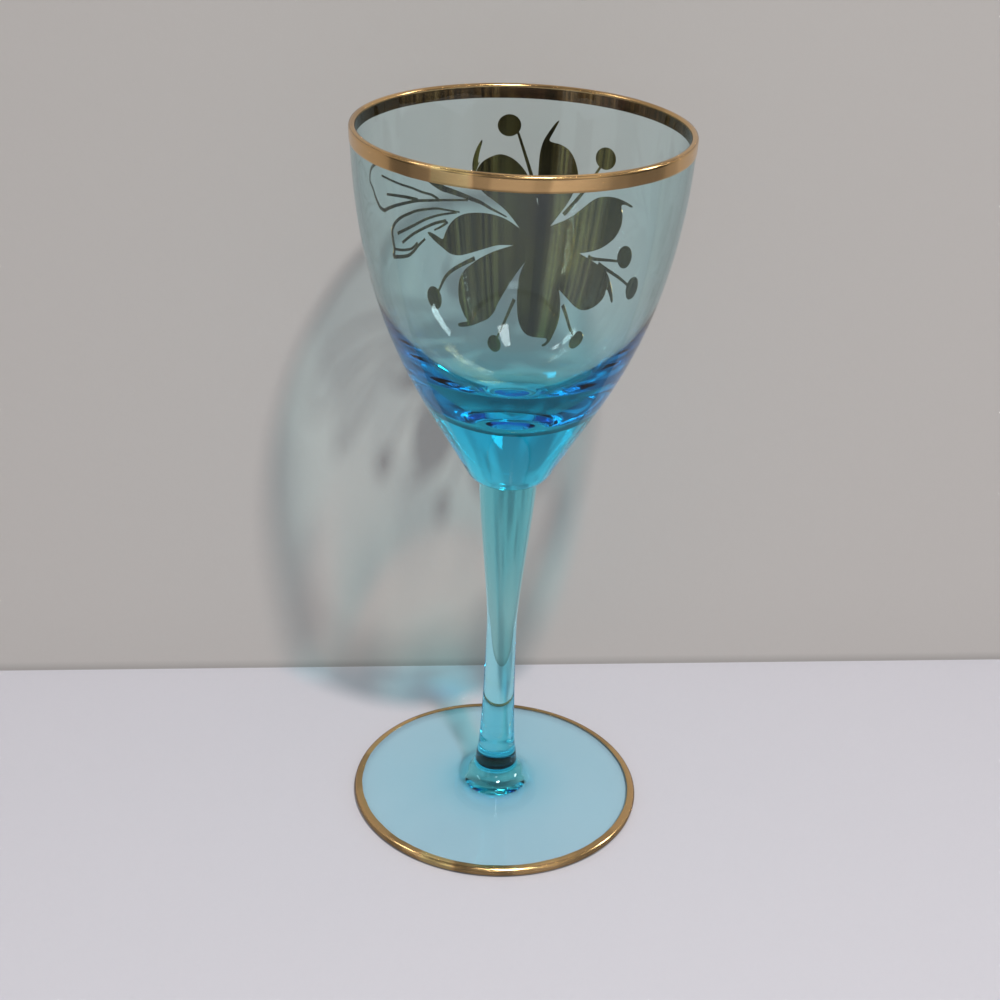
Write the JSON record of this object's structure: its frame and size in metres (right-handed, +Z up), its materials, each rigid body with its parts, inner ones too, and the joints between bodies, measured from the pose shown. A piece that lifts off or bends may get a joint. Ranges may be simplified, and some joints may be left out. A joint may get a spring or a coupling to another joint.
{
  "type": "cordial glass",
  "caption": "Small stemmed cordial glass of pale aqua glass with a tall tulip bowl, solid base, drawn stem and round foot, gilt rim and foot line and a gilt flower.",
  "frame": {"origin": "middle of the foot on the plane that the glass stands on", "axes": "+Z up along the axis of the glass, +Y towards the side with the gold flower, +X to the right when that side is looked at from inside the bowl"},
  "size_m": [0.0582, 0.0582, 0.1351],
  "materials": {
    "aqua_glass": "clear fire-polished glass tinted aqua blue through its whole thickness",
    "gold_line": "thin bright fired gold with brush marks, slightly worn",
    "gold_flower": "thin fired gold brushed on by hand, dark olive where it is seen through the glass"
  },
  "bodies": {
    "root": {"bowl": "aqua_glass", "stem": "aqua_glass", "foot": "aqua_glass", "rim_band": "gold_line", "foot_line": "gold_line", "flower_heart": "gold_flower", "petal_1": "gold_flower", "petal_2": "gold_flower", "petal_3": "gold_flower", "petal_4": "gold_flower", "petal_5": "gold_flower", "petal_6": "gold_flower", "petal_7": "gold_flower", "side_curl": "gold_flower", "stamen_1": "gold_flower", "stamen_2": "gold_flower", "stamen_3": "gold_flower", "stamen_4": "gold_flower", "stamen_5": "gold_flower", "stamen_6": "gold_flower", "stamen_7": "gold_flower", "leaf_upper": "gold_flower", "leaf_lower": "gold_flower"}
  },
  "joints": []
}
